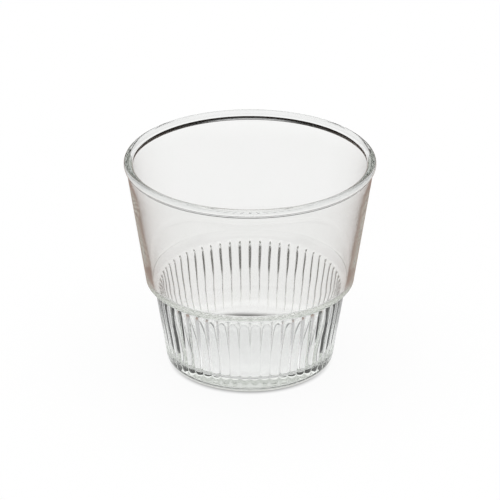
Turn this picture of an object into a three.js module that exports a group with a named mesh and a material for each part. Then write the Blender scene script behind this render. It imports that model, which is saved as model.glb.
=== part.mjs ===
// Stacking tasting tumbler: one piece of clear glass, pressed in a mould and fire polished.
// Millimetres, +Z up. The origin is the centre of the foot, on the surface the glass stands on.

import * as THREE from 'three';

// Smooth bowl, from the rolled bead at the lip down to the shoulder
const HEIGHT = 70.5;
const RIM_RADIUS = 40;
const BEAD_WIDTH = 2.9;
const BEAD_HEIGHT = 3.0;
const BEAD_SLANT = 0.2;
const LIP_OUTSIDE = 0.8;
const LIP_INSIDE = 0.8;
const NECK_ROUND = 0.3;
const THROAT_ROUND = 0.4;
const BOWL_WALL = 1.8;

// Shoulder, where the bowl steps in to the narrower base
const SHOULDER_RADIUS = 33.3;
const SHOULDER_HEIGHT = 28.9;
const SHOULDER_ROUND = 0.9;
const WAIST_RADIUS = 30.7;
const WAIST_HEIGHT = 27.1;
const WAIST_ROUND = 0.7;

// Ledge inside the bowl, which follows the shoulder at this height above it
const LEDGE_RISE = 1.8;
const LEDGE_COVE = 0.8;
const LEDGE_ROUND = 5.5;

// Reeded base: convex reeds side by side, with a groove between each two that deepens upwards
const FOOT_RADIUS = 26.5;
const HEEL_ROUND = 3.6;
const BASE_WALL = 2.1;
const REED_COUNT = 54;
const GROOVE_DEPTH_LOW = 0.8;
const GROOVE_DEPTH_HIGH = 1.0;

// Solid floor, with a shallow dome pushed up into its underside
const FLOOR_THICKNESS = 4.8;
const FLOOR_ROUND = 4.0;
const PUSH_UP = 0.3;
const PUSH_UP_RADIUS = 19.5;

// Facets of the model: sides round the axis for each reed, and steps along each round
const SMOOTH_SIDES_PER_REED = 2;
const REED_SIDES = 4;
const CORNER_STEPS = 2;
const WIDE_CORNER_STEPS = 3;
const BEAD_STEPS = 3;
const DOME_STEPS = 2;

// Shares of the waist's height between which the grooves deepen
const DEEPEN_FROM = 0.74;
const DEEPEN_TO = 0.94;

// A round takes up at most this share of the straight stretch on either side of it
const ROUND_SHARE = 0.45;

const at = (radius, height) => new THREE.Vector2(radius, height);

// Oval section of the bead, which leans up towards the outside
const beadHalfWidth = BEAD_WIDTH / 2;
const beadHalfHeight = BEAD_HEIGHT / 2;
const beadLean = BEAD_SLANT * beadHalfWidth;
const beadTopAngle = Math.atan2(beadHalfHeight, beadLean);
const beadCentre = at(RIM_RADIUS - beadHalfWidth, HEIGHT - Math.hypot(beadHalfHeight, beadLean));
const beadPoint = (angle) => at(
  beadCentre.x + beadHalfWidth * Math.cos(angle),
  beadCentre.y + beadHalfHeight * Math.sin(angle) + beadLean * Math.cos(angle),
);
const beadTangent = (angle) => at(
  -beadHalfWidth * Math.sin(angle),
  beadHalfHeight * Math.cos(angle) - beadLean * Math.sin(angle),
);

// The outer wall meets the bead at its neck, and the inner wall at its throat
const neckAngle = -Math.acos(Math.max(0, 1 - LIP_OUTSIDE / beadHalfWidth));
const throatAngle = Math.PI + Math.acos(Math.max(0, 1 - LIP_INSIDE / beadHalfWidth));
const neck = beadPoint(neckAngle);
const throat = beadPoint(throatAngle);

// Outer radius of the bowl's wall, and of the reeds' crests, at a height
const bowlSlope = (neck.x - SHOULDER_RADIUS) / (neck.y - SHOULDER_HEIGHT);
const bowlRadius = (height) => SHOULDER_RADIUS + bowlSlope * (height - SHOULDER_HEIGHT);
const crestSlope = (WAIST_RADIUS - FOOT_RADIUS) / WAIST_HEIGHT;
const crestRadius = (height) => FOOT_RADIUS + crestSlope * height;

// Arc that rounds a corner of the outline, from the side before it to the side after it
function rounded(before, corner, after, radius, steps) {
  const back = before.clone().sub(corner);
  const onward = after.clone().sub(corner);
  const halfAngle = back.angleTo(onward) / 2;
  const room = ROUND_SHARE * Math.min(back.length(), onward.length());
  const setback = Math.min(radius / Math.tan(halfAngle), room);
  const fitted = setback * Math.tan(halfAngle);
  back.normalize();
  onward.normalize();
  const toCentre = back.clone().add(onward).setLength(fitted / Math.sin(halfAngle));
  const centre = corner.clone().add(toCentre);
  const start = corner.clone().addScaledVector(back, setback).sub(centre).angle();
  const end = corner.clone().addScaledVector(onward, setback).sub(centre).angle();
  const clockwise = back.cross(onward) > 0;
  const arc = new THREE.EllipseCurve(centre.x, centre.y, fitted, fitted, start, end, clockwise);
  return arc.getPoints(steps);
}

// Underside: a shallow dome, from its crown on the axis down to the ring that the glass stands on
function underside() {
  const domeRadius = (PUSH_UP_RADIUS ** 2 + PUSH_UP ** 2) / (2 * PUSH_UP);
  const reach = Math.asin(PUSH_UP_RADIUS / domeRadius);
  const crownAngle = Math.PI / 2;
  const centreHeight = PUSH_UP - domeRadius;
  const dome = new THREE.EllipseCurve(
    0, centreHeight, domeRadius, domeRadius, crownAngle, crownAngle - reach, true,
  );
  const crown = at(0, PUSH_UP);
  return [crown, ...dome.getPoints(DOME_STEPS).slice(1)];
}

// Outside of the glass, from the standing ring up to the neck under the bead
function outside() {
  const ring = at(PUSH_UP_RADIUS, 0);
  const foot = at(FOOT_RADIUS, 0);
  const waist = at(WAIST_RADIUS, WAIST_HEIGHT);
  const shoulder = at(SHOULDER_RADIUS, SHOULDER_HEIGHT);
  const aboveNeck = neck.clone().add(beadTangent(neckAngle));
  return {
    heel: rounded(ring, foot, waist, HEEL_ROUND, WIDE_CORNER_STEPS),
    waist: rounded(foot, waist, shoulder, WAIST_ROUND, CORNER_STEPS),
    shoulder: rounded(waist, shoulder, neck, SHOULDER_ROUND, CORNER_STEPS),
    neck: rounded(shoulder, neck, aboveNeck, NECK_ROUND, CORNER_STEPS),
  };
}

// Bead: from the neck to its widest point, over its top to its narrowest point, and down to the throat
function bead() {
  const turns = [
    [neckAngle, 0, CORNER_STEPS],
    [0, beadTopAngle, BEAD_STEPS],
    [beadTopAngle, Math.PI, BEAD_STEPS],
    [Math.PI, throatAngle, CORNER_STEPS],
  ];
  return turns.flatMap(([from, to, steps]) => Array.from(
    { length: steps },
    (_, step) => beadPoint(from + ((to - from) * (step + 1)) / steps),
  )).slice(0, -1);
}

// Inside of the glass, from the throat down over the ledge to the floor
function inside() {
  const aboveThroat = throat.clone().sub(beadTangent(throatAngle));
  const ledgeTop = SHOULDER_HEIGHT + LEDGE_RISE;
  const ledgeEdge = WAIST_HEIGHT + LEDGE_RISE;
  const ledge = at(bowlRadius(ledgeTop) - BOWL_WALL, ledgeTop);
  const edge = at(crestRadius(ledgeEdge) - BASE_WALL, ledgeEdge);
  const floor = at(crestRadius(FLOOR_THICKNESS) - BASE_WALL, FLOOR_THICKNESS);
  const middle = at(0, FLOOR_THICKNESS);
  return [
    ...rounded(aboveThroat, throat, ledge, THROAT_ROUND, CORNER_STEPS),
    ...rounded(throat, ledge, edge, LEDGE_COVE, CORNER_STEPS),
    ...rounded(ledge, edge, floor, LEDGE_ROUND, WIDE_CORNER_STEPS),
    ...rounded(edge, floor, middle, FLOOR_ROUND, WIDE_CORNER_STEPS),
    middle,
  ];
}

// Depth of the grooves at a height: shallow near the heel, full under the shoulder
function grooveDepth(height) {
  const deepening = THREE.MathUtils.smoothstep(height / WAIST_HEIGHT, DEEPEN_FROM, DEEPEN_TO);
  return THREE.MathUtils.lerp(GROOVE_DEPTH_LOW, GROOVE_DEPTH_HIGH, deepening);
}

// How far the skin lies inside the crests. Reeds count from a crest, and each is an arc between grooves.
function reedSag(reeds, crest, depth) {
  const halfWidth = (Math.PI * crest) / REED_COUNT;
  const bend = halfWidth / Math.sin(2 * Math.atan(depth / halfWidth));
  const across = 2 * (reeds - Math.round(reeds)) * halfWidth;
  return bend - Math.sqrt(bend * bend - across * across);
}

// Stations of the outline in order. One with a groove depth is reeded.
function stations() {
  const smooth = (point) => ({ point, depth: 0 });
  const reeded = (point) => ({ point, depth: grooveDepth(point.y) });
  const wall = outside();
  const crest = (height) => reeded(at(crestRadius(height), height));
  const deepenMiddle = (DEEPEN_FROM + DEEPEN_TO) / 2;
  return [
    ...underside().map(smooth),
    ...wall.heel.slice(0, -1).map(smooth),
    reeded(wall.heel.at(-1)),
    ...[DEEPEN_FROM, deepenMiddle].map((share) => crest(share * WAIST_HEIGHT)),
    ...wall.waist.slice(0, -1).map(reeded),
    smooth(wall.waist.at(-1)),
    ...wall.shoulder.map(smooth),
    ...wall.neck.map(smooth),
    ...bead().map(smooth),
    ...inside().map(smooth),
  ];
}

// Ring of points round the axis at one station, or a single point on the axis
function ring({ point, depth }) {
  if (point.x === 0) {
    return [new THREE.Vector3(0, 0, point.y)];
  }
  const sidesPerReed = depth > 0 ? REED_SIDES : SMOOTH_SIDES_PER_REED;
  const sides = REED_COUNT * sidesPerReed;
  return Array.from({ length: sides }, (_, side) => {
    const turn = (2 * Math.PI * side) / sides;
    const sag = depth > 0 ? reedSag(side / sidesPerReed, point.x, depth) : 0;
    const radius = point.x - sag;
    return new THREE.Vector3(radius * Math.cos(turn), radius * Math.sin(turn), point.y);
  });
}

// Closed skin through the rings, zipped together two by two
function loft(rings) {
  const firstIndex = [];
  let total = 0;
  for (const points of rings) {
    firstIndex.push(total);
    total += points.length;
  }
  const index = [];
  for (let level = 0; level + 1 < rings.length; level += 1) {
    const below = rings[level].length;
    const above = rings[level + 1].length;
    const lower = (side) => firstIndex[level] + (side % below);
    const upper = (side) => firstIndex[level + 1] + (side % above);
    const lowerSides = below > 1 ? below : 0;
    const upperSides = above > 1 ? above : 0;
    let i = 0;
    let j = 0;
    while (i < lowerSides || j < upperSides) {
      const lowerIsNext = j === upperSides || (i < lowerSides && (i + 1) / below <= (j + 1) / above);
      if (lowerIsNext) {
        index.push(lower(i), lower(i + 1), upper(j));
        i += 1;
      } else {
        index.push(lower(i), upper(j + 1), upper(j));
        j += 1;
      }
    }
  }
  const geometry = new THREE.BufferGeometry();
  geometry.setFromPoints(rings.flat());
  geometry.setIndex(index);
  geometry.computeVertexNormals();
  return geometry;
}

// Clear glass with the faint green of its iron content, polished by flame
const clearGlass = new THREE.MeshStandardMaterial({
  color: 0xe9efe9,
  roughness: 0.03,
  metalness: 0,
  transparent: true,
  opacity: 0.35,
});

const tumbler = new THREE.Mesh(loft(stations().map(ring)), clearGlass);
tumbler.name = 'tumbler';

const tastingGlass = new THREE.Group();
tastingGlass.add(tumbler);

export default tastingGlass;
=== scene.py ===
"""Tasting glass: a stacking tumbler of clear pressed glass, on a white studio sheet. Metres, +Z up."""

import math

import bpy
import numpy as np
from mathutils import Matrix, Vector


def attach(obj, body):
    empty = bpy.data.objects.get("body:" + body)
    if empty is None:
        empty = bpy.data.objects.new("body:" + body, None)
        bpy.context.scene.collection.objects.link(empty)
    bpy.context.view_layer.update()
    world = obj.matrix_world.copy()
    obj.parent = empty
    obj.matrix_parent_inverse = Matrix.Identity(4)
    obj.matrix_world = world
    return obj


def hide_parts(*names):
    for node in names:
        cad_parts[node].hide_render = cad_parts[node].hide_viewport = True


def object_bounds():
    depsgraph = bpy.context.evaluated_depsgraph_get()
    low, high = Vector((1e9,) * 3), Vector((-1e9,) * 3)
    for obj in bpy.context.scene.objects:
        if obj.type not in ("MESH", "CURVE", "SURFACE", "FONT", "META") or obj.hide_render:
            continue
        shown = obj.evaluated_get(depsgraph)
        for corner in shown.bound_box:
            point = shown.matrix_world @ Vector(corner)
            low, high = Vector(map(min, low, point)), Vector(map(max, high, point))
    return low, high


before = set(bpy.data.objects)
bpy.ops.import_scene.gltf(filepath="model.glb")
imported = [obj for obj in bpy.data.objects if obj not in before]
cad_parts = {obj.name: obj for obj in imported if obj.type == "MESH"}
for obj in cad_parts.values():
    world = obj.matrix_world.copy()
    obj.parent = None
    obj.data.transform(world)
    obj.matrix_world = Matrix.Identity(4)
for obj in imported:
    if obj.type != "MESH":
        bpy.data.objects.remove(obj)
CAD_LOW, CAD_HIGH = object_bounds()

bl_info = {
    "name": "Tasting glass",
    "version": (1, 0, 0),
    "blender": (4, 5, 0),
    "location": "3D View > Sidebar > Tasting glass",
    "description": "Builds a pressed glass tumbler with a reeded base, and a white studio sheet for it",
    "category": "Object",
}

MM = 0.001

# Height over which the waves of the inner wall die out towards the lip and the floor
WAVE_RUN = 8 * MM

# Two sets of such waves: their number round the glass, their length up the wall, and their shares
BROAD_WAVES = 5
BROAD_LENGTH = 19 * MM
BROAD_SHARE = 0.6
FINE_WAVES = 11
FINE_LENGTH = 12 * MM
FINE_SHIFT = 1.3

# Share of its full depth from which a groove has a sharp edge
GROOVE_EDGE = 0.02

# A round takes up at most this share of the straight stretch on either side of it
ROUND_SHARE = 0.48

# Steps along each stretch of the outline
UNDERSIDE_STEPS = 6
HEEL_STEPS = 12
REED_STEPS = 24
CORNER_STEPS = 8
BOWL_STEPS = 5
BEAD_STEPS = 32
FLOOR_STEPS = 6
RING_STEPS = 3
LEDGE_STEPS = 3

# Sides of the skin across one reed, and how much closer they lie towards its grooves
REED_SIDES = 10
REED_CROWDING = 2.2

# Usual range of a noise texture's values
NOISE_LOW = 0.3
NOISE_HIGH = 0.7

# Light that has crossed fewer surfaces than this has been through one wall at most
ONE_WALL = 2.5

# Light that has crossed more surfaces than this has been through more than two walls
TWO_WALLS = 5.5

# Heights in the room, as sines of the elevation, over which its white wall fades out
HORIZON_FROM = 0.242
HORIZON_TO = 0.309

# Heights over which its ceiling light comes up, and the strength of that light
CEILING_FROM = 0.87
CEILING_TO = 0.94
CEILING_LIGHT = 0.6

# Sides of the round sheet and of the card, and how far the sheet lies under the foot
STAGE_SIDES = 96
SHEET_DROP = 0.01 * MM

# Light runs a long way round inside the bead before it leaves
GLASS_BOUNCES = 96

LAMP_SPREAD = math.radians(70)
SENSOR_WIDTH = 36.0
VIEW_END = 100.0

WHITE = (1.0, 1.0, 1.0, 1.0)

# Sockets of a node that mixes two colours, and of one that mixes two values
COLOUR_A, COLOUR_B, COLOUR_OUT = 6, 7, 2
VALUE_A, VALUE_B, VALUE_OUT = 2, 3, 0


def linear(hex_colour):
    """Linear colour, with alpha 1, of an sRGB hex value such as "f4f4f2"."""
    shares = [int(hex_colour[i:i + 2], 16) / 255 for i in (0, 2, 4)]
    return (*[s / 12.92 if s <= 0.04045 else ((s + 0.055) / 1.055) ** 2.4 for s in shares], 1.0)


def length(name, description, default):
    """Property that holds a length in metres."""
    return bpy.props.FloatProperty(
        name=name, description=description, default=default, min=0.0, precision=5, unit="LENGTH",
    )


def colour(name, description, default):
    """Property that holds a linear colour, written as sRGB hex."""
    return bpy.props.FloatVectorProperty(
        name=name, description=description, default=linear(default),
        size=4, min=0.0, max=1.0, subtype="COLOR",
    )


def fraction(name, description, default):
    """Property that holds a fraction between 0 and 1."""
    return bpy.props.FloatProperty(
        name=name, description=description, default=default, min=0.0, max=1.0, subtype="FACTOR",
    )


class TumblerShape(bpy.types.PropertyGroup):
    """Sizes of the glass"""

    height: length("Height", "From the table to the top of the bead", CAD_HIGH.z)
    rim_radius: length("Rim radius", "Radius of the bead's widest circle", CAD_HIGH.x)
    bead_width: length("Bead width", "Width of the bead across the wall", 2.9 * MM)
    bead_height: length("Bead height", "Height of the bead's oval section", 3.0 * MM)
    bead_slant: bpy.props.FloatProperty(
        name="Bead slant", description="Rise of the bead towards the outside, per unit of its width",
        default=0.2,
    )
    lip_outside: length("Lip outside", "How far the bead stands out from the outer wall", 0.8 * MM)
    lip_inside: length("Lip inside", "How far the bead stands in from the inner wall", 0.8 * MM)
    neck_round: length("Neck round", "Round between the outer wall and the bead", 0.3 * MM)
    throat_round: length("Throat round", "Round between the bead and the inner wall", 0.4 * MM)
    bowl_wall: length("Bowl wall", "Thickness of the bowl's wall over the shoulder", 1.8 * MM)
    shoulder_radius: length("Shoulder radius", "Outer radius where the bowl steps in", 33.3 * MM)
    shoulder_height: length("Shoulder height", "Height of the shoulder's outer corner", 28.9 * MM)
    shoulder_round: length("Shoulder round", "Round of the shoulder's outer corner", 0.9 * MM)
    waist_radius: length("Waist radius", "Outer radius of the base under the shoulder", 30.7 * MM)
    waist_height: length("Waist height", "Height of the inner corner under the shoulder", 27.1 * MM)
    waist_round: length("Waist round", "Round of the inner corner under the shoulder", 0.7 * MM)
    ledge_rise: length("Ledge rise", "Height of the inner ledge over the shoulder", 1.8 * MM)
    ledge_cove: length("Ledge cove", "Hollow round where the bowl runs onto the ledge", 0.8 * MM)
    ledge_round: length("Ledge round", "Round over which the ledge turns down into the base", 5.5 * MM)
    foot_radius: length("Foot radius", "Radius of the base at the table, before its round", 26.5 * MM)
    heel_round: length("Heel round", "Round of the heel", 3.6 * MM)
    base_wall: length("Base wall", "Thickness of the base's wall behind a crest", 2.1 * MM)
    floor_thickness: length("Floor thickness", "Thickness of the glass's floor", 4.8 * MM)
    floor_round: length("Floor round", "Round between the wall and the floor inside", 2.5 * MM)
    push_up: length("Push-up", "Height of the underside's shallow dome", 0.3 * MM)
    push_up_radius: length("Push-up radius", "Radius of the underside's dome", 19.5 * MM)
    plunger_wave: length("Plunger wave", "Height of the waves that the plunger leaves inside", 0.02 * MM)


class ReedShape(bpy.types.PropertyGroup):
    """Sizes of the reeds on the base"""

    count: bpy.props.IntProperty(
        name="Reeds", description="Number of reeds round the base", default=54, min=12, max=120,
    )
    depth_high: length("Depth at the top", "Depth of the grooves under the shoulder", 0.95 * MM)
    depth_low: length("Depth below", "Depth of the grooves near the heel", 0.46 * MM)
    deepen_from: length("Deepen from", "Height at which the grooves start to deepen", 12.0 * MM)
    deepen_to: length("Deepen to", "Height at which the grooves have their full depth", 24.0 * MM)
    flatness: bpy.props.FloatProperty(
        name="Flatness", description="Power of the reeds' section: 2 is round, more has narrower grooves",
        default=4.0, min=2.0, max=12.0,
    )
    start: length("Start", "Height at which the grooves start on the heel", 1.0 * MM)
    heel_runout: length("Run-out at the heel", "Height over which they rise out of the heel", 8.0 * MM)
    shoulder_runout: length("Run-out at the shoulder", "Height over which they end under it", 0.8 * MM)


class GlassFinish(bpy.types.PropertyGroup):
    """Finish of the pressed soda-lime glass"""

    ior: bpy.props.FloatProperty(
        name="IOR", description="Refractive index of soda-lime glass", default=1.52, min=1.0, max=2.0,
    )
    body_colour: colour("Body colour", "Colour of light that has gone through thick glass", "f6f9f4")
    density: bpy.props.FloatProperty(
        name="Density", description="How strongly thick glass takes the body colour, per metre",
        default=15.0, min=0.0,
    )
    ripple: length("Ripple", "Height of the fine ripple of the fire-polished skin", 0.002 * MM)
    ripple_size: length("Ripple size", "Distance from one ripple to the next", 7.0 * MM)
    haze: fraction("Haze", "Roughness of the skin where it is least smooth", 0.004)
    skin_colour: colour("Skin colour", "Tint of the skin where the ripple is highest", "fdfefd")


class StudioStage(bpy.types.PropertyGroup):
    """White sheet with painted shade and shadow, dark card, light and camera"""

    sheet_colour: colour("Sheet colour", "Colour of the paper sheet", "fcfcfb")
    sheet_radius: length("Sheet radius", "Radius of the paper sheet", 6.0)
    # Painted reflection shade: grey, brown and black that the sheet shows only where the glass mirrors it;
    # to the lens it stays white
    painted_grey_reflection: colour("Sheet round the glass", "The sheet there, as one mirroring shows it", "cecece")
    painted_brown_reflection: colour("Mirrored sheet", "Sheet away from the glass, as one mirroring shows it", "9f877a")
    painted_black_reflection: colour("Twice mirrored sheet", "The sheet, as two or more mirrorings show it", "040404")
    # Radii over which that painted reflection shade changes, for one mirroring and for more
    near_radius: length("Near radius", "Radius within which one mirroring sees the sheet white", 0.036)
    middle_radius: length("Middle radius", "Radius from which it sees the sheet round the glass", 0.046)
    far_radius: length("Far radius", "Radius up to which it does", 0.056)
    dim_radius: length("Dim radius", "Radius from which it sees the dimmer sheet", 0.066)
    foot_radius: length("Foot radius", "Radius within which more mirrorings see the sheet white", 0.024)
    clear_radius: length("Clear radius", "Radius from which they see it dark", 0.032)
    # Painted shadow under the heel: a ring in which the sheet's glow is dimmed, which the lens sees too
    contact_radius: length("Contact radius", "Radius of the ring that the glass stands on", 0.0228)
    contact_end: length("Contact end", "Radius at which the shadow under the heel ends", 0.0268)
    painted_heel_shadow_light: fraction("Contact light", "Light left in the shadow under the heel", 0.1)
    # Painted shade: a faint dimming of the sheet's glow round the glass, standing for the glass's own
    # shade, shown only in the glass
    shade_start: length("Shade start", "Radius within which the sheet is fully white", 0.040)
    shade_full: length("Shade full", "Radius at which the glass's own faint shade is full", 0.070)
    shade_radius: length("Shade radius", "Radius up to which that shade is full", 0.170)
    shade_end: length("Shade end", "Radius at which that shade ends", 0.230)
    painted_shade_light: fraction("Shade light", "Light left in that shade", 0.92)
    card_colour: colour("Card colour", "Colour of the dark card that draws the rim's black line", "040404")
    card_radius: length("Card radius", "Radius of the dark card round the glass", 0.060)
    card_low: length("Card bottom", "Height of the dark card's lower edge", 0.0650)
    card_high: length("Card top", "Height of the dark card's upper edge", 0.0750)
    glow: fraction("Glow", "Share of the sheet's white that no shadow dims", 0.93)
    deep_light: fraction("Deep light", "Light of the room, as two or more mirrorings show it", 0.75)
    fill: fraction("Fill", "Light from all round the room", 0.35)
    lamp: bpy.props.FloatProperty(
        name="Lamp", description="Strength of the broad lamp overhead", default=2.1, min=0.0,
    )
    view_height: length("View height", "Height of the point that the camera looks at", 0.0384)
    view_distance: length("View distance", "Distance of the camera from that point", 1.28)
    view_width: length("View width", "Width of the picture at that point", 0.160)
    view_elevation: bpy.props.FloatProperty(
        name="View elevation", description="How far the camera looks down", default=math.radians(25.4),
        subtype="ANGLE",
    )


class TastingGlassSettings(bpy.types.PropertyGroup):
    """Everything that a user of the tasting glass may change"""

    tumbler: bpy.props.PointerProperty(type=TumblerShape, name="Tumbler", description="Sizes of the glass")
    reeds: bpy.props.PointerProperty(type=ReedShape, name="Reeds", description="Sizes of the reeds")
    finish: bpy.props.PointerProperty(type=GlassFinish, name="Finish", description="Finish of the glass")
    stage: bpy.props.PointerProperty(type=StudioStage, name="Stage", description="Sheet, light, camera")


def emptied_tree(owner):
    """Node tree of a new material or world, with nothing in it."""
    owner.use_nodes = True
    owner.node_tree.nodes.clear()
    return owner.node_tree


def add_node(tree, kind, settings=None, inputs=None):
    """Adds a node, sets its options, and fills its inputs with values or links."""
    made = tree.nodes.new(kind)
    for name, value in (settings or {}).items():
        setattr(made, name, value)
    for name, value in (inputs or {}).items():
        socket = made.inputs[name]
        if isinstance(value, bpy.types.NodeSocket):
            tree.links.new(value, socket)
        else:
            socket.default_value = value
    return made


def ease(distance, run):
    """Smooth step from 0 to 1 over a run."""
    share = max(0.0, min(1.0, distance / run))
    return share * share * (3 - 2 * share)


def straight(start, end, steps):
    """Points between two points of the outline, without either of them."""
    return [start.lerp(end, i / steps) for i in range(1, steps)]


def rounded(before, corner, after, radius, steps):
    """Arc that rounds a corner of the outline, from the side before it to the side after it."""
    back = before - corner
    onward = after - corner
    half_angle = back.angle(onward) / 2
    room = ROUND_SHARE * min(back.length, onward.length)
    setback = min(radius / math.tan(half_angle), room)
    fitted = setback * math.tan(half_angle)
    back.normalize()
    onward.normalize()
    centre = corner + (back + onward).normalized() * (fitted / math.sin(half_angle))
    first = corner + back * setback - centre
    last = corner + onward * setback - centre
    start = math.atan2(first.y, first.x)
    turn = math.remainder(math.atan2(last.y, last.x) - start, math.tau)
    angles = [start + turn * i / steps for i in range(steps + 1)]
    return [centre + Vector((fitted * math.cos(a), fitted * math.sin(a))) for a in angles]


class Outline:
    """Half section of the glass: from the axis up its outside, over the lip and down to the floor."""

    def __init__(self, shape):
        self.shape = shape
        half_width = shape.bead_width / 2
        half_height = shape.bead_height / 2
        self.bead_axes = Vector((half_width, half_height))
        top = math.hypot(half_height, shape.bead_slant * half_width)
        self.bead_centre = Vector((shape.rim_radius - half_width, shape.height - top))
        self.neck_angle = -math.acos(1 - shape.lip_outside / half_width)
        self.throat_angle = math.pi + math.acos(1 - shape.lip_inside / half_width)
        self.neck = self.bead_point(self.neck_angle)
        self.throat = self.bead_point(self.throat_angle)
        self.foot = Vector((shape.foot_radius, 0.0))
        self.waist = Vector((shape.waist_radius, shape.waist_height))
        self.shoulder = Vector((shape.shoulder_radius, shape.shoulder_height))
        self.ring = Vector((shape.push_up_radius, 0.0))
        self.heel_arc = rounded(self.ring, self.foot, self.waist, shape.heel_round, HEEL_STEPS)
        self.waist_arc = rounded(self.foot, self.waist, self.shoulder, shape.waist_round, CORNER_STEPS)
        self.shoulder_arc = rounded(
            self.waist, self.shoulder, self.neck, shape.shoulder_round, CORNER_STEPS,
        )

    def bead_point(self, angle):
        """Point on the bead's oval section."""
        x = self.bead_axes.x * math.cos(angle)
        y = self.bead_axes.y * math.sin(angle) + self.shape.bead_slant * x
        return self.bead_centre + Vector((x, y))

    def bead_tangent(self, angle):
        """Direction along the bead's section, towards greater angles."""
        x = -self.bead_axes.x * math.sin(angle)
        y = self.bead_axes.y * math.cos(angle) + self.shape.bead_slant * x
        return Vector((x, y))

    def crest(self, height):
        """Point on a reed's crest, or on its line carried on, at a height."""
        return self.foot.lerp(self.waist, height / self.waist.y)

    def crown(self):
        """Point on the axis under the floor."""
        return np.array([[0.0, 0.0, self.shape.push_up]])

    def middle(self):
        """Point on the axis on top of the floor."""
        return np.array([[0.0, 0.0, self.shape.floor_thickness]])

    def underside(self):
        """Shallow dome under the floor, from next to the axis to the ring that the glass stands on."""
        rise = self.shape.push_up
        reach = self.shape.push_up_radius
        dome = (reach ** 2 + rise ** 2) / (2 * rise)
        radii = [reach * i / UNDERSIDE_STEPS for i in range(1, UNDERSIDE_STEPS + 1)]
        return [Vector((r, rise - dome + math.sqrt(dome ** 2 - r ** 2))) for r in radii]

    def base(self):
        """Reeded wall between the heel and the shoulder."""
        top = self.waist_arc[0]
        wall = straight(self.heel_arc[-1], top, REED_STEPS)
        under = straight(self.waist_arc[-1], self.shoulder_arc[0], CORNER_STEPS)
        return [*wall, *self.waist_arc, *under]

    def lip(self):
        """Bead, from its neck outside to its throat inside, with the bowl's outer wall under it."""
        up = self.neck + self.bead_tangent(self.neck_angle)
        neck = rounded(self.shoulder, self.neck, up, self.shape.neck_round, CORNER_STEPS)
        top = self.ledge_corner()
        down = self.throat - self.bead_tangent(self.throat_angle)
        throat = rounded(down, self.throat, top, self.shape.throat_round, CORNER_STEPS)
        skip_out = (neck[-1] - self.neck).length
        skip_in = (throat[0] - self.throat).length
        sweep = self.throat_angle - self.neck_angle
        oval = [self.bead_point(self.neck_angle + sweep * i / BEAD_STEPS) for i in range(BEAD_STEPS + 1)]
        clear = [
            p for p in oval
            if (p - self.neck).length > skip_out and (p - self.throat).length > skip_in
        ]
        wall = straight(self.shoulder_arc[-1], neck[0], BOWL_STEPS)
        return [*wall, *neck, *clear, *throat]

    def ledge_corner(self):
        """Corner where the bowl's inner wall would meet the ledge."""
        height = self.shoulder.y + self.shape.ledge_rise
        share = (height - self.shoulder.y) / (self.neck.y - self.shoulder.y)
        return self.shoulder.lerp(self.neck, share) - Vector((self.shape.bowl_wall, 0.0))

    def inside(self):
        """Inner wall over the ledge and down to the floor's middle, after the throat."""
        shape = self.shape
        inward = Vector((shape.base_wall, 0.0))
        top = self.ledge_corner()
        edge = self.crest(self.waist.y + shape.ledge_rise) - inward
        corner = self.crest(shape.floor_thickness) - inward
        middle = Vector((0.0, shape.floor_thickness))
        cove = rounded(self.throat, top, edge, shape.ledge_cove, CORNER_STEPS)
        ledge = rounded(top, edge, corner, shape.ledge_round, CORNER_STEPS)
        bend = rounded(edge, corner, middle, shape.floor_round, HEEL_STEPS)
        return [
            *straight(self.throat, cove[0], BOWL_STEPS * 2), *cove,
            *straight(cove[-1], ledge[0], LEDGE_STEPS), *ledge,
            *straight(ledge[-1], bend[0], BOWL_STEPS * 2), *bend,
            *straight(bend[-1], middle, FLOOR_STEPS),
        ]


def groove_cut(reeds, across, height, relief):
    """How far the skin lies below the crests: flat over a reed's middle and steep into its two grooves."""
    deepening = ease(height - reeds.deepen_from, reeds.deepen_to - reeds.deepen_from)
    depth = relief * (reeds.depth_low + (reeds.depth_high - reeds.depth_low) * deepening)
    return depth * np.abs(across) ** reeds.flatness


def plunger_waves(turns, height):
    """Slow waves of an inner wall, between -1 and 1, from the chill of the plunger."""
    broad = np.sin(BROAD_WAVES * turns + height * math.tau / BROAD_LENGTH)
    fine = np.sin(FINE_WAVES * turns - height * math.tau / FINE_LENGTH + FINE_SHIFT)
    return BROAD_SHARE * broad + (1 - BROAD_SHARE) * fine


def glass_rings(shape, reeds):
    """Rings of points round the axis, one per station of the outline, and which of them are grooved."""
    outline = Outline(shape)
    even = 2 * np.arange(REED_SIDES) / REED_SIDES - 1
    crowded = np.sign(even) * (1 - (1 - np.abs(even)) ** REED_CROWDING)
    reed = np.repeat(np.arange(reeds.count), REED_SIDES)
    top = outline.waist_arc[-1].y

    def ring(point, relief=0.0, wave=0.0):
        across = np.tile(even + relief * (crowded - even), reeds.count)
        turns = (reed + across / 2) * math.tau / reeds.count
        radius = point.x - groove_cut(reeds, across, point.y, relief) + wave * plunger_waves(turns, point.y)
        return np.stack([radius * np.cos(turns), radius * np.sin(turns), point.y + 0 * turns], axis=1)

    def relief_at(height):
        rise = ease(height - reeds.start, reeds.heel_runout)
        return min(rise, ease(top - height, reeds.shoulder_runout))

    def wave_at(height):
        under_lip = ease(outline.throat.y - height, WAVE_RUN)
        over_floor = ease(height - shape.floor_thickness, WAVE_RUN)
        return shape.plunger_wave * under_lip * over_floor

    foot = [*outline.underside(), *straight(outline.ring, outline.heel_arc[0], RING_STEPS)]
    reeded = [*outline.heel_arc, *outline.base()]
    bowl = [*outline.shoulder_arc, *outline.lip()]
    inside = outline.inside()
    rings = [
        outline.crown(),
        *[ring(point) for point in foot],
        *[ring(point, relief=relief_at(point.y)) for point in reeded],
        *[ring(point) for point in bowl],
        *[ring(point, wave=wave_at(point.y)) for point in inside],
        outline.middle(),
    ]
    grooved = np.zeros(len(rings), dtype=bool)
    first = 1 + len(foot)
    grooved[first:first + len(reeded)] = [relief_at(point.y) > GROOVE_EDGE for point in reeded]
    return rings, grooved


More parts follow.
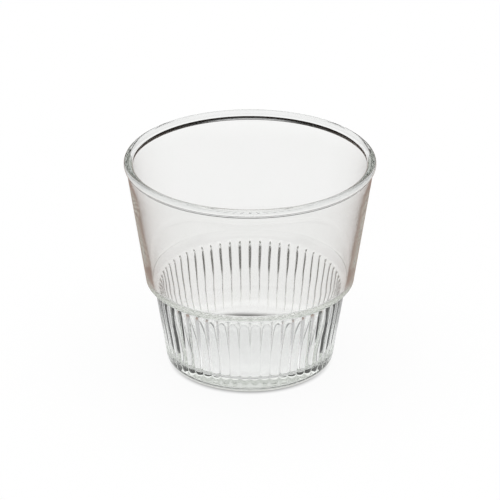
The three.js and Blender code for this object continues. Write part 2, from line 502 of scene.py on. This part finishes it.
def sharpen_grooves(mesh, first, grooved):
    """Keeps the bottom of each groove a sharp line between its two reeds."""
    level = np.repeat(np.arange(len(grooved)), np.diff(first))
    side = np.arange(first[-1]) - first[level]
    ends = np.zeros(2 * len(mesh.edges), dtype=int)
    mesh.edges.foreach_get("vertices", ends)
    start, end = ends.reshape(-1, 2).T
    in_groove = (side % REED_SIDES == 0) & grooved[level]
    sharp = in_groove[start] & in_groove[end] & (level[start] != level[end])
    mesh.attributes.new("sharp_edge", "BOOLEAN", "EDGE").data.foreach_set("value", sharp)


def glass_mesh(shape, reeds):
    """Closed skin of the glass through all its rings."""
    rings, grooved = glass_rings(shape, reeds)
    sides = reeds.count * REED_SIDES
    first = np.cumsum([0, *[len(r) for r in rings]])
    here = np.arange(sides)
    after = (here + 1) % sides
    faces = []
    for level in range(len(rings) - 1):
        low, high = first[level], first[level + 1]
        if len(rings[level]) == 1:
            faces += np.stack([low + 0 * here, high + after, high + here], axis=1).tolist()
        elif len(rings[level + 1]) == 1:
            faces += np.stack([low + here, low + after, high + 0 * here], axis=1).tolist()
        else:
            faces += np.stack([low + here, low + after, high + after, high + here], axis=1).tolist()
    mesh = bpy.data.meshes.new("glass")
    mesh.from_pydata(np.concatenate(rings).tolist(), [], faces)
    mesh.shade_smooth()
    sharpen_grooves(mesh, first, grooved)
    return mesh


def pressed_glass(finish):
    """Soda-lime glass, pressed and fire polished: bright and clear, green only where it is thick."""
    material = bpy.data.materials.new("soda_lime_glass_pressed_fire_polished")
    tree = emptied_tree(material)
    place = add_node(tree, "ShaderNodeTexCoord")
    # The flame leaves a skin that is smooth but not quite even: a low ripple and a trace of haze
    ripple = add_node(tree, "ShaderNodeTexNoise", {}, {
        "Vector": place.outputs["Object"], "Scale": 1 / finish.ripple_size, "Detail": 1.0, "Roughness": 0.4,
    })
    skin = add_node(tree, "ShaderNodeBump", {}, {
        "Height": ripple.outputs["Fac"], "Strength": 1.0, "Distance": finish.ripple,
    })
    haze = add_node(tree, "ShaderNodeMapRange", {}, {
        "Value": ripple.outputs["Fac"], "From Min": NOISE_LOW, "From Max": NOISE_HIGH,
        "To Min": 0.0, "To Max": finish.haze,
    })
    tint = add_node(tree, "ShaderNodeMix", {"data_type": "RGBA"}, {
        "Factor": ripple.outputs["Fac"], COLOUR_A: WHITE, COLOUR_B: finish.skin_colour,
    })
    shader = add_node(tree, "ShaderNodeBsdfPrincipled", {}, {
        "Base Color": tint.outputs[COLOUR_OUT], "Roughness": haze.outputs["Result"], "IOR": finish.ior,
        "Transmission Weight": 1.0, "Normal": skin.outputs["Normal"],
    })
    body = add_node(tree, "ShaderNodeVolumeAbsorption", {}, {
        "Color": finish.body_colour, "Density": finish.density,
    })
    add_node(tree, "ShaderNodeOutputMaterial", {}, {
        "Surface": shader.outputs["BSDF"], "Volume": body.outputs["Volume"],
    })
    return material


def paper_with_painted_shade(stage):
    """Matte white paper with a soft shadow and a painted shadow ring under the heel. Where the glass
    mirrors it, painted shade makes it darker outwards.
    """
    material = bpy.data.materials.new("white_paper_with_painted_shade")
    tree = emptied_tree(material)
    path = add_node(tree, "ShaderNodeLightPath")
    spot = add_node(tree, "ShaderNodeNewGeometry")
    # Painted reflection shade: as one mirroring shows it, the sheet is white, then painted grey, then
    # painted brown outwards
    away = add_node(tree, "ShaderNodeVectorMath", {"operation": "LENGTH"}, {0: spot.outputs["Position"]})
    middle = add_node(tree, "ShaderNodeMapRange", {}, {
        "Value": away.outputs["Value"], "From Min": stage.near_radius, "From Max": stage.middle_radius,
    })
    far = add_node(tree, "ShaderNodeMapRange", {}, {
        "Value": away.outputs["Value"], "From Min": stage.far_radius, "From Max": stage.dim_radius,
    })
    near_sheet = add_node(tree, "ShaderNodeMix", {"data_type": "RGBA"}, {
        "Factor": middle.outputs["Result"], COLOUR_A: WHITE, COLOUR_B: stage.painted_grey_reflection,
    })
    painted_dim_reflection = add_node(tree, "ShaderNodeMix", {"data_type": "RGBA"}, {
        "Factor": far.outputs["Result"],
        COLOUR_A: near_sheet.outputs[COLOUR_OUT], COLOUR_B: stage.painted_brown_reflection,
    })
    once = add_node(tree, "ShaderNodeMath", {"operation": "MINIMUM"}, {
        0: path.outputs["Glossy Depth"], 1: 1.0,
    })
    # Those painted colours show only in light that has been through one wall at most
    one_wall = add_node(tree, "ShaderNodeMath", {"operation": "LESS_THAN"}, {
        0: path.outputs["Transmission Depth"], 1: ONE_WALL,
    })
    by_wall = add_node(tree, "ShaderNodeMath", {"operation": "MULTIPLY"}, {
        0: once.outputs[0], 1: one_wall.outputs[0],
    })
    seen_once = add_node(tree, "ShaderNodeMix", {"data_type": "RGBA"}, {
        "Factor": by_wall.outputs[0], COLOUR_A: WHITE, COLOUR_B: painted_dim_reflection.outputs[COLOUR_OUT],
    })
    # After two mirrorings, or one and more than two walls, the sheet is white only under the foot and
    # painted black outside it
    through = add_node(tree, "ShaderNodeMath", {"operation": "GREATER_THAN"}, {
        0: path.outputs["Transmission Depth"], 1: TWO_WALLS,
    })
    deeper = add_node(tree, "ShaderNodeMath", {"operation": "MULTIPLY_ADD"}, {
        0: once.outputs[0], 1: through.outputs[0], 2: path.outputs["Glossy Depth"],
    })
    more = add_node(tree, "ShaderNodeMath", {"operation": "SUBTRACT", "use_clamp": True}, {
        0: deeper.outputs[0], 1: 1.0,
    })
    under = add_node(tree, "ShaderNodeMapRange", {}, {
        "Value": away.outputs["Value"], "From Min": stage.foot_radius, "From Max": stage.clear_radius,
    })
    seen_more = add_node(tree, "ShaderNodeMix", {"data_type": "RGBA"}, {
        "Factor": under.outputs["Result"], COLOUR_A: WHITE, COLOUR_B: stage.painted_black_reflection,
    })
    # Sheet colour with its painted reflection shade in it
    white = add_node(tree, "ShaderNodeMix", {"data_type": "RGBA"}, {
        "Factor": more.outputs[0],
        COLOUR_A: seen_once.outputs[COLOUR_OUT], COLOUR_B: seen_more.outputs[COLOUR_OUT],
    })
    # Painted shadow close under the heel, where little light gets in; those deeper mirrorings do not show
    # it
    painted_heel_shadow_ramp = add_node(tree, "ShaderNodeMapRange", {"interpolation_type": "SMOOTHSTEP"}, {
        "Value": away.outputs["Value"], "From Min": stage.contact_radius, "From Max": stage.contact_end,
        "To Min": stage.painted_heel_shadow_light, "To Max": 1.0,
    })
    inside = add_node(tree, "ShaderNodeMath", {"operation": "LESS_THAN"}, {
        0: away.outputs["Value"], 1: stage.contact_radius,
    })
    contact = add_node(tree, "ShaderNodeMath", {"operation": "MAXIMUM"}, {
        0: painted_heel_shadow_ramp.outputs["Result"], 1: inside.outputs[0],
    })
    light = add_node(tree, "ShaderNodeMath", {"operation": "MAXIMUM"}, {
        0: contact.outputs[0], 1: more.outputs[0],
    })
    # The glass keeps some light off the sheet round it; this painted shade dims the sheet's glow there and
    # shows only in the glass
    behind = add_node(tree, "ShaderNodeMapRange", {}, {
        "Value": away.outputs["Value"], "From Min": stage.shade_radius, "From Max": stage.shade_end,
        "To Min": stage.painted_shade_light, "To Max": 1.0,
    })
    before = add_node(tree, "ShaderNodeMapRange", {}, {
        "Value": away.outputs["Value"], "From Min": stage.shade_start, "From Max": stage.shade_full,
        "To Min": 1.0, "To Max": 0.0,
    })
    ring = add_node(tree, "ShaderNodeMath", {"operation": "MAXIMUM"}, {
        0: behind.outputs["Result"], 1: before.outputs["Result"],
    })
    shade = add_node(tree, "ShaderNodeMath", {"operation": "MAXIMUM"}, {
        0: ring.outputs[0], 1: path.outputs["Is Camera Ray"],
    })
    strength = add_node(tree, "ShaderNodeMath", {"operation": "MULTIPLY"}, {
        0: light.outputs[0], 1: shade.outputs[0],
    })
    glow = add_node(tree, "ShaderNodeEmission", {}, {
        "Color": white.outputs[COLOUR_OUT], "Strength": strength.outputs[0],
    })
    paper = add_node(tree, "ShaderNodeBsdfDiffuse", {}, {"Color": stage.sheet_colour})
    looked_at = add_node(tree, "ShaderNodeMath", {"operation": "SUBTRACT"}, {
        0: 1.0, 1: path.outputs["Is Diffuse Ray"],
    })
    glowing = add_node(tree, "ShaderNodeMath", {"operation": "MULTIPLY"}, {
        0: looked_at.outputs[0], 1: stage.glow,
    })
    sheet = add_node(tree, "ShaderNodeMixShader", {}, {
        "Fac": glowing.outputs[0], 1: paper.outputs["BSDF"], 2: glow.outputs["Emission"],
    })
    add_node(tree, "ShaderNodeOutputMaterial", {}, {"Surface": sheet.outputs["Shader"]})
    return material


def black_card(stage):
    """Matte black card: it gives the glass something dark to show at its rim."""
    material = bpy.data.materials.new("black_card_matte")
    tree = emptied_tree(material)
    card = add_node(tree, "ShaderNodeBsdfDiffuse", {}, {"Color": stage.card_colour})
    add_node(tree, "ShaderNodeOutputMaterial", {}, {"Surface": card.outputs["BSDF"]})
    return material


def circle(radius, height):
    """Points of a level circle round the glass."""
    turns = [math.tau * i / STAGE_SIDES for i in range(STAGE_SIDES)]
    return [(radius * math.cos(t), radius * math.sin(t), height) for t in turns]


def studio_world(stage):
    """White room for the lens. The glass sees a white wall, a dim room over it and a ceiling light."""
    world = bpy.data.worlds.new("studio")
    tree = emptied_tree(world)
    path = add_node(tree, "ShaderNodeLightPath")
    way = add_node(tree, "ShaderNodeTexCoord")
    up = add_node(tree, "ShaderNodeSeparateXYZ", {}, {"Vector": way.outputs["Generated"]})
    dim = add_node(tree, "ShaderNodeMapRange", {"interpolation_type": "SMOOTHSTEP"}, {
        "Value": up.outputs["Z"], "From Min": HORIZON_FROM, "From Max": HORIZON_TO,
        "To Min": 1.0, "To Max": 0.0,
    })
    overhead = add_node(tree, "ShaderNodeMapRange", {"interpolation_type": "SMOOTHSTEP"}, {
        "Value": up.outputs["Z"], "From Min": CEILING_FROM, "From Max": CEILING_TO,
        "To Min": 0.0, "To Max": CEILING_LIGHT,
    })
    room = add_node(tree, "ShaderNodeMath", {"operation": "ADD"}, {
        0: dim.outputs["Result"], 1: overhead.outputs["Result"],
    })
    deep = add_node(tree, "ShaderNodeMapRange", {}, {
        "Value": path.outputs["Glossy Depth"], "From Min": 1.0, "From Max": 2.0,
        "To Min": 0.0, "To Max": stage.deep_light,
    })
    mirrored = add_node(tree, "ShaderNodeMath", {"operation": "MAXIMUM"}, {
        0: room.outputs[0], 1: deep.outputs["Result"],
    })
    lit = add_node(tree, "ShaderNodeMix", {"data_type": "FLOAT"}, {
        "Factor": path.outputs["Is Diffuse Ray"], VALUE_A: mirrored.outputs[0], VALUE_B: stage.fill,
    })
    seen = add_node(tree, "ShaderNodeMix", {"data_type": "FLOAT"}, {
        "Factor": path.outputs["Is Camera Ray"], VALUE_A: lit.outputs[VALUE_OUT], VALUE_B: 1.0,
    })
    sky = add_node(tree, "ShaderNodeBackground", {}, {
        "Color": WHITE, "Strength": seen.outputs[VALUE_OUT],
    })
    add_node(tree, "ShaderNodeOutputWorld", {}, {"Surface": sky.outputs["Background"]})
    return world


class TASTING_GLASS_OT_tumbler(bpy.types.Operator):
    """Builds the glass: one closed skin with its bead, bowl, shoulder, reeds, heel and floor"""

    bl_idname = "tasting_glass.tumbler"
    bl_label = "Tumbler"

    def execute(self, context):
        settings = context.scene.tasting_glass
        mesh = glass_mesh(settings.tumbler, settings.reeds)
        mesh.materials.append(pressed_glass(settings.finish))
        glass = bpy.data.objects.new("glass", mesh)
        context.scene.collection.objects.link(glass)
        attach(glass, "root")
        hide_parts("tumbler")
        return {"FINISHED"}


class TASTING_GLASS_OT_stage(bpy.types.Operator):
    """Lays the white sheet, stands the dark card round the rim, and sets up the light and the camera"""

    bl_idname = "tasting_glass.stage"
    bl_label = "Studio stage"

    def execute(self, context):
        scene = context.scene
        stage = scene.tasting_glass.stage
        self.sheet(scene, stage)
        self.card(scene, stage)
        self.light(scene, stage)
        self.camera(scene, stage)
        scene.view_settings.view_transform = "Standard"
        scene.cycles.max_bounces = GLASS_BOUNCES
        scene.cycles.transmission_bounces = GLASS_BOUNCES
        scene.cycles.glossy_bounces = GLASS_BOUNCES
        return {"FINISHED"}

    def sheet(self, scene, stage):
        """Round sheet of paper, a hair under the foot."""
        edge = circle(stage.sheet_radius, -SHEET_DROP)
        mesh = bpy.data.meshes.new("sheet")
        mesh.from_pydata(edge, [], [list(range(STAGE_SIDES))])
        mesh.materials.append(paper_with_painted_shade(stage))
        sheet = bpy.data.objects.new("sheet", mesh)
        scene.collection.objects.link(sheet)

    def card(self, scene, stage):
        """Band of dark card round the rim, unseen by the lens, which the bead shows as a black line."""
        low = circle(stage.card_radius, stage.card_low)
        high = circle(stage.card_radius, stage.card_high)
        here = range(STAGE_SIDES)
        after = [(i + 1) % STAGE_SIDES for i in here]
        faces = [(i, j, STAGE_SIDES + j, STAGE_SIDES + i) for i, j in zip(here, after)]
        mesh = bpy.data.meshes.new("card")
        mesh.from_pydata(low + high, [], faces)
        mesh.materials.append(black_card(stage))
        card = bpy.data.objects.new("card", mesh)
        card.visible_camera = False
        card.visible_diffuse = False
        card.visible_shadow = False
        scene.collection.objects.link(card)

    def light(self, scene, stage):
        """Broad lamp overhead for the soft shadow, and the room's own light."""
        lamp = bpy.data.lights.new("overhead", "SUN")
        lamp.energy = stage.lamp
        lamp.angle = LAMP_SPREAD
        overhead = bpy.data.objects.new("overhead", lamp)
        overhead.visible_glossy = False
        overhead.visible_transmission = False
        scene.collection.objects.link(overhead)
        scene.world = studio_world(stage)

    def camera(self, scene, stage):
        """Long lens in front of the glass, a little above it."""
        lens = bpy.data.cameras.new("camera")
        lens.sensor_width = SENSOR_WIDTH
        lens.lens = lens.sensor_width * stage.view_distance / stage.view_width
        lens.clip_end = VIEW_END
        camera = bpy.data.objects.new("camera", lens)
        target = Vector((0.0, 0.0, stage.view_height))
        away = Vector((0.0, -math.cos(stage.view_elevation), math.sin(stage.view_elevation)))
        camera.location = target + away * stage.view_distance
        camera.rotation_euler = (-away).to_track_quat("-Z", "Y").to_euler()
        scene.collection.objects.link(camera)
        scene.camera = camera


class VIEW3D_PT_tasting_glass(bpy.types.Panel):
    """Lists the pieces of the tasting glass and their settings"""

    bl_idname = "VIEW3D_PT_tasting_glass"
    bl_label = "Tasting glass"
    bl_space_type = "VIEW_3D"
    bl_region_type = "UI"
    bl_category = "Tasting glass"

    def draw(self, context):
        settings = context.scene.tasting_glass
        self.layout.operator(TASTING_GLASS_OT_tumbler.bl_idname)
        self.layout.operator(TASTING_GLASS_OT_stage.bl_idname)
        for part in (settings.tumbler, settings.reeds, settings.finish, settings.stage):
            box = self.layout.box()
            for name in part.__annotations__:
                box.prop(part, name)


CLASSES = (
    TumblerShape,
    ReedShape,
    GlassFinish,
    StudioStage,
    TastingGlassSettings,
    TASTING_GLASS_OT_tumbler,
    TASTING_GLASS_OT_stage,
    VIEW3D_PT_tasting_glass,
)


def register():
    for made in CLASSES:
        bpy.utils.register_class(made)
    bpy.types.Scene.tasting_glass = bpy.props.PointerProperty(type=TastingGlassSettings)


def unregister():
    del bpy.types.Scene.tasting_glass
    for made in reversed(CLASSES):
        bpy.utils.unregister_class(made)


def main():
    """Builds the glass and its stage."""
    register()
    bpy.ops.tasting_glass.tumbler()
    bpy.ops.tasting_glass.stage()


if __name__ == "__main__":
    main()
